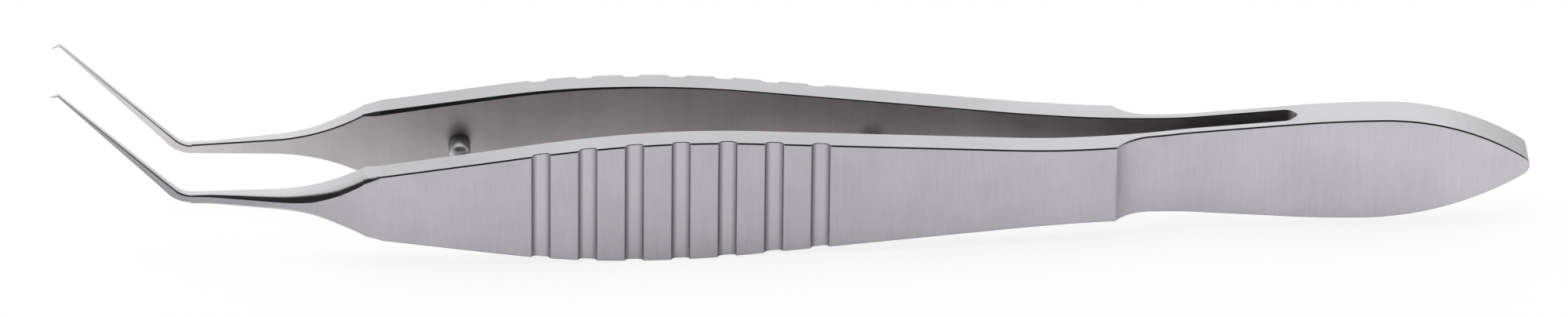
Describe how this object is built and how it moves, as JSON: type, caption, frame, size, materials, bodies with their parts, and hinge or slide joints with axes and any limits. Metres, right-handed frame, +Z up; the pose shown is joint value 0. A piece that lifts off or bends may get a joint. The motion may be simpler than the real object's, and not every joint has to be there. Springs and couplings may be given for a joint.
{
  "type": "capsulorhexis forceps",
  "caption": "Fine spring-handled eye surgery forceps with bowed grooved grips, slim necks and upward-angled shafts ending in beaked tips.",
  "frame": {"origin": "centre of the bounding box in plan, at the surface that the lower edges of the grips stand on", "axes": "+X along the instrument towards the tail, tips at -X; +Y from the left arm to the right arm; +Z up, the way the shafts bend"},
  "size_m": [0.1046, 0.011, 0.0132],
  "materials": {
    "satin_steel": "satin, fine cross-brushed",
    "pin_steel": "turned, bright"
  },
  "bodies": {
    "tail": {"tail": "satin_steel"},
    "left_arm": {"left_arm": "satin_steel"},
    "right_arm": {"right_arm": "satin_steel", "front_stop_pin": "pin_steel", "rear_stop_pin": "pin_steel"}
  },
  "joints": [
    {"name": "left_leaf_flex", "type": "hinge", "parent": "tail", "child": "left_arm", "pos_m": [0.03074, -0.00106, 0.00473], "axis": [0, 0, -1], "range_deg": [0, 2.33], "stiffness_Nm_per_rad": 2.9},
    {"name": "right_leaf_flex", "type": "hinge", "parent": "tail", "child": "right_arm", "pos_m": [0.03074, 0.00106, 0.00473], "axis": [0, 0, 1], "range_deg": [0, 2.33], "stiffness_Nm_per_rad": 2.9}
  ]
}
